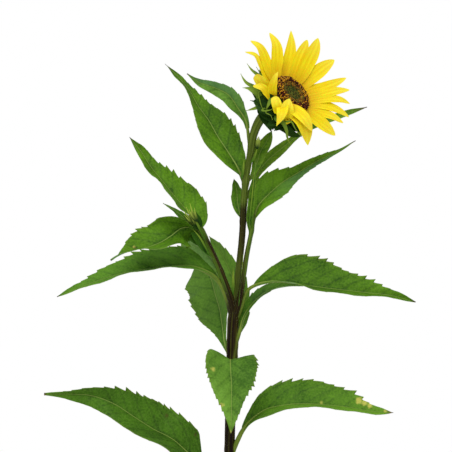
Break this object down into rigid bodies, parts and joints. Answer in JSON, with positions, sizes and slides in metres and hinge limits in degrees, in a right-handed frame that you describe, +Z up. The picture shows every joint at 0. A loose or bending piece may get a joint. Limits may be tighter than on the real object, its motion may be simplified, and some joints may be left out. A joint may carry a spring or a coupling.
{
  "type": "sunflower plant",
  "caption": "Branching sunflower plant with a hairy stem, two side shoots, serrated leaves and one open flower head on a bent neck.",
  "frame": {"origin": "centre of the flat cut of the main stem at ground level", "axes": "+Z up along the main stem, +X to the side the flower head leans to, -Y to the side the open flower turns towards"},
  "size_m": [0.4093, 0.286, 0.6685],
  "materials": {
    "stem": "fibrous stem with short hairs, purple-brown below and olive green above",
    "leaf": "rough green leaf with pale veins",
    "petal": "satin yellow petal with fine grooves",
    "florets": "packed maroon and yellow florets, olive green in the middle",
    "bracts": "dark green hairy bracts"
  },
  "bodies": {
    "root": {"main_stem": "stem", "left_shoot": "stem", "right_shoot": "stem", "leaf_upper_left": "leaf", "leaf_upper_inner": "leaf", "leaf_small_back": "leaf", "leaf_neck_narrow": "leaf", "leaf_right_long": "leaf", "leaf_left_arching": "leaf", "leaf_right_arching": "leaf", "leaf_right_behind": "leaf", "leaf_back_left": "leaf", "leaf_back_rising": "leaf", "leaf_front": "leaf", "leaf_lower_left": "leaf", "leaf_lower_right": "leaf", "leaf_foot_front": "leaf", "leaf_foot_back": "leaf", "leaf_shoot_rising": "leaf", "leaf_shoot_drooping": "leaf", "leaf_shoot_low": "leaf", "leaf_shoot_bract": "leaf", "leaf_right_rising": "leaf", "leaf_right_sliver": "leaf", "shoot_bud": "leaf", "neck_bud": "leaf", "involucre": "bracts", "disc": "florets", "ray_01": "petal", "ray_02": "petal", "ray_03": "petal", "ray_04": "petal", "ray_05": "petal", "ray_06": "petal", "ray_07": "petal", "ray_08": "petal", "ray_09": "petal", "ray_10": "petal", "ray_11": "petal", "ray_12": "petal", "ray_13": "petal", "ray_14": "petal", "ray_15": "petal", "ray_16": "petal", "ray_17": "petal", "ray_18": "petal", "ray_19": "petal", "ray_20": "petal", "ray_21": "petal"}
  },
  "joints": []
}
